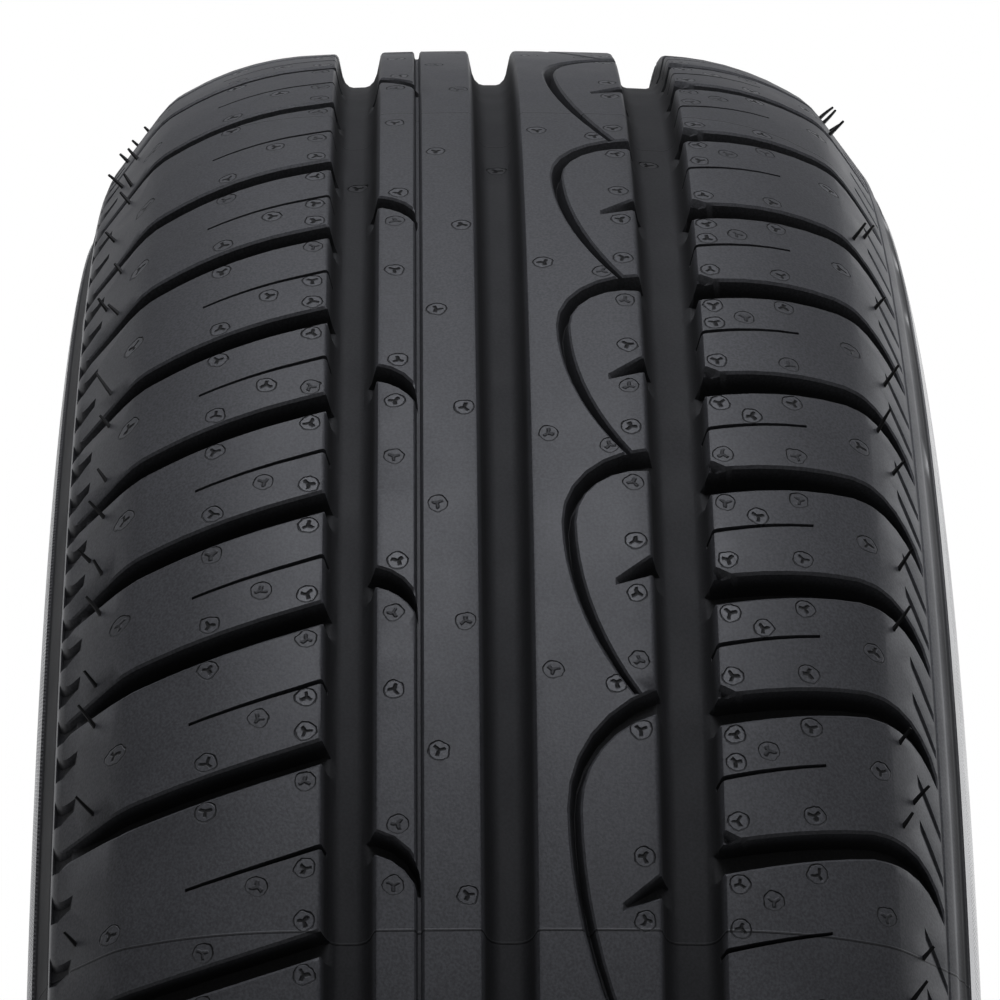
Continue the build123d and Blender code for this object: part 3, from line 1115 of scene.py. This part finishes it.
# Floor and surroundings are plain white to the camera
floorLook = {
    "size": 16,
    "gap": 0.0005,
    "colour": (0.4, 0.4, 0.4, 1),
    "rough": 0.9,
    "behindFade": (-0.3, -0.05),
}
floorLevel = -crownRadius * mm - floorLook["gap"]
bpy.ops.mesh.primitive_plane_add(size=floorLook["size"], location=(0, 0, floorLevel))
floor = bpy.context.object
floor.name = "floor"
floorMaterial = bpy.data.materials.new("floorWhite")
floorMaterial.use_nodes = True
tree = floorMaterial.node_tree
floorShader = tree.nodes["Principled BSDF"]
floorShader.inputs["Base Color"].default_value = floorLook["colour"]
floorShader.inputs["Roughness"].default_value = floorLook["rough"]
rays = addNode(tree, "ShaderNodeLightPath")
floorPlace = addNode(tree, "ShaderNodeTexCoord").outputs["Object"]
spot = addNode(tree, "ShaderNodeSeparateXYZ", {0: floorPlace})
behind = fallOff(tree, spot.outputs[0], *floorLook["behindFade"])
behind = times(tree, behind, rays.outputs["Is Glossy Ray"])
leftDim = ramp(tree, spot.outputs[1], *surround["leftFade"], surround["leftShare"], 1.0)
behind = times(tree, behind, leftDim)
seen = calc(tree, "MAXIMUM", rays.outputs["Is Camera Ray"], rays.outputs["Is Transmission Ray"])
seen = calc(tree, "MAXIMUM", seen, behind)
glow = addNode(tree, "ShaderNodeEmission", {"Color": (1, 1, 1, 1), "Strength": 1.0})
blend = addNode(tree, "ShaderNodeMixShader", {0: seen})
tree.links.new(floorShader.outputs[0], blend.inputs[1])
tree.links.new(glow.outputs[0], blend.inputs[2])
tree.links.new(blend.outputs[0], tree.nodes["Material Output"].inputs["Surface"])
floor.data.materials.append(floorMaterial)

world = bpy.data.worlds.new("surround")
bpy.context.scene.world = world
world.use_nodes = True
tree = world.node_tree
rays = addNode(tree, "ShaderNodeLightPath")
rayWay = addNode(tree, "ShaderNodeTexCoord").outputs["Generated"]
heading = addNode(tree, "ShaderNodeSeparateXYZ", {0: rayWay})
behind = fallOff(tree, heading.outputs[0], *surround["behindFade"])
behind = times(tree, behind, rays.outputs["Is Glossy Ray"])
behind = times(tree, behind, fallOff(tree, heading.outputs[2], *surround["upFade"]))
leftDim = ramp(tree, heading.outputs[1], *surround["leftFade"], surround["leftShare"], 1.0)
behind = times(tree, behind, leftDim)
seen = calc(tree, "MAXIMUM", rays.outputs["Is Camera Ray"], behind)
strength = ramp(tree, seen, 0, 1, surround["strength"], 1.0)
tree.nodes["Background"].inputs["Color"].default_value = (1, 1, 1, 1)
tree.links.new(strength, tree.nodes["Background"].inputs["Strength"])


def addLamp(name, place, target, size, energy):
    bpy.ops.object.light_add(type="AREA", location=place)
    lamp = bpy.context.object
    lamp.name = name
    lamp.data.shape = "RECTANGLE"
    lamp.data.size, lamp.data.size_y = size
    lamp.data.energy = energy
    lamp.data.color = light["tint"]
    lamp.rotation_euler = (Vector(target) - Vector(place)).to_track_quat("-Z", "Y").to_euler()


addLamp("topLamp", (0.0, 0.1, 1.75), (0.1, 0, 0), (2.2, 1.3), light["top"])
addLamp("leftLamp", (-1.2, -1.5, 0.3), (0, 0, 0.1), (1.2, 1.8), light["left"])
addLamp("rightLamp", (-1.2, 1.5, 0.2), (0, 0, 0.1), (1.4, 2.0), light["right"])
addLamp("frontLamp", (0.75, -0.08, 2.4), (0, 0, 0), (1.3, 1.3), light["front"])
addLamp("backLamp", (-1.5, 0.0, 0.6), (0, 0, 0.1), (3.0, 2.0), light["back"])
bpy.context.scene.view_settings.view_transform = "Standard"
print("camera and light set")
